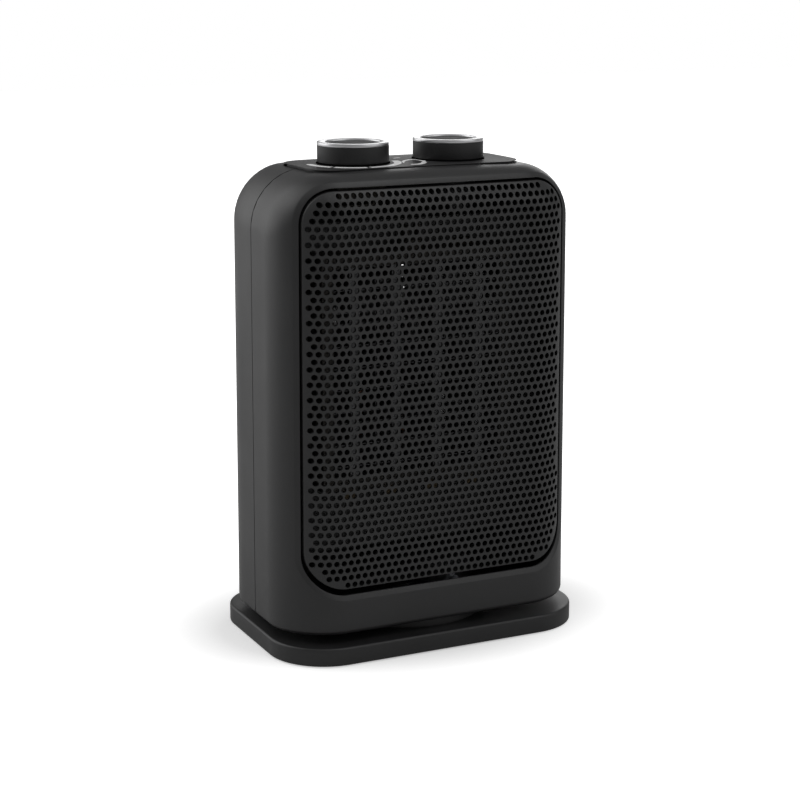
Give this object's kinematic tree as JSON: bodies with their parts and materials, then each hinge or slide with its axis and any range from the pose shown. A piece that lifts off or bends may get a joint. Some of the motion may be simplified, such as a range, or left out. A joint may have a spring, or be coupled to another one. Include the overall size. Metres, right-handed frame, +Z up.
{
  "type": "ceramic space heater",
  "caption": "Upright rounded box heater with a perforated air outlet, two turning knobs on top and a flat base that it swings on.",
  "frame": {"origin": "on the floor under the swing axis, at the middle of the base", "axes": "+Z up, -Y the way the warm air blows out, +X to the right when the heater is seen from the front"},
  "size_m": [0.167, 0.107, 0.2502],
  "materials": {
    "housing_plastic": "fine spark texture, satin",
    "base_plastic": "satin",
    "turntable_plastic": "plain",
    "grille_plastic": "satin",
    "panel_plastic": "fine texture, printed",
    "duct_plastic": "plain, heat resistant",
    "frame_plastic": "plain, heat resistant",
    "fan_plastic": "plain",
    "switch_black": "plain",
    "knob_plastic": "fine texture",
    "knob_metal": "bright, fine turned",
    "cap_plastic": "satin",
    "foot_rubber": "matte",
    "white_nylon": "plain",
    "cream_phenolic": "plain",
    "steel": "zinc plated",
    "core_steel": "laminated, rolled",
    "aluminium": "mill finish",
    "brass": "plain",
    "copper": "enamelled copper wire"
  },
  "bodies": {
    "base": {"base_shell": "base_plastic", "base_cover": "base_plastic", "rubber_feet": "foot_rubber", "base_screws": "steel", "glide_ring": "switch_black", "pivot_clip": "steel", "tip_over_switch": "switch_black", "tip_over_spring": "steel"},
    "plunger": {"tip_over_plunger": "white_nylon"},
    "housing": {"turntable": "turntable_plastic", "turntable_screws": "steel", "front_housing": "housing_plastic", "rear_housing": "housing_plastic", "housing_screws": "steel", "front_grille": "grille_plastic", "control_panel": "panel_plastic", "control_nuts": "steel", "thermostat": "cream_phenolic", "rotary_switch": "white_nylon", "air_duct": "duct_plastic", "ptc_frame": "frame_plastic", "ptc_bars": "aluminium", "ptc_fins": "aluminium", "ptc_terminals": "brass", "ptc_screws": "steel", "thermal_cutout": "cream_phenolic", "thermal_fuse": "white_nylon", "motor_front_bracket": "steel", "motor_rear_bracket": "steel", "motor_bearings": "brass", "motor_core": "core_steel", "motor_coil": "copper", "motor_screws": "steel", "swing_motor": "steel", "swing_motor_screws": "steel", "terminal_block": "white_nylon", "cord_gland": "switch_black", "gland_nut": "switch_black"},
    "crank": {"crank_arm": "white_nylon", "crank_shaft": "steel"},
    "fan": {"fan_wheel": "fan_plastic", "motor_rotor": "core_steel", "motor_shaft": "steel"},
    "thermostat_dial": {"thermostat_knob": "knob_plastic", "thermostat_knob_ring": "knob_metal", "thermostat_knob_cap": "cap_plastic", "thermostat_shaft": "steel"},
    "mode_dial": {"mode_knob": "knob_plastic", "mode_knob_ring": "knob_metal", "mode_knob_cap": "cap_plastic", "mode_shaft": "steel"}
  },
  "joints": [
    {"name": "swing", "type": "hinge", "parent": "base", "child": "housing", "pos_m": [0, 0, 0], "axis": [0, 0, 1], "range_deg": [-30, 30]},
    {"name": "crank_turn", "type": "hinge", "parent": "housing", "child": "crank", "pos_m": [0.022, 0, 0], "axis": [0, 0, 1], "range_deg": [-90, 90]},
    {"name": "fan_spin", "type": "hinge", "parent": "housing", "child": "fan", "pos_m": [0, 0.02, 0.138], "axis": [0, 1, 0], "continuous": true},
    {"name": "tip_over_slide", "type": "slide", "parent": "base", "child": "plunger", "axis": [0, 0, 1], "range_m": [-0.0021, 0], "stiffness_N_per_m": 150, "springref_m": -0.004, "deforming": ["tip_over_spring"]},
    {"name": "thermostat_turn", "type": "hinge", "parent": "housing", "child": "thermostat_dial", "pos_m": [-0.0262, 0, 0.24], "axis": [0, 0, -1], "range_deg": [0, 270]},
    {"name": "mode_turn", "type": "hinge", "parent": "housing", "child": "mode_dial", "pos_m": [0.0262, 0, 0.24], "axis": [0, 0, -1], "range_deg": [0, 180]}
  ],
  "couplings": [
    {"joint": "crank_turn", "follows": "swing", "ratio": -2.9}
  ]
}
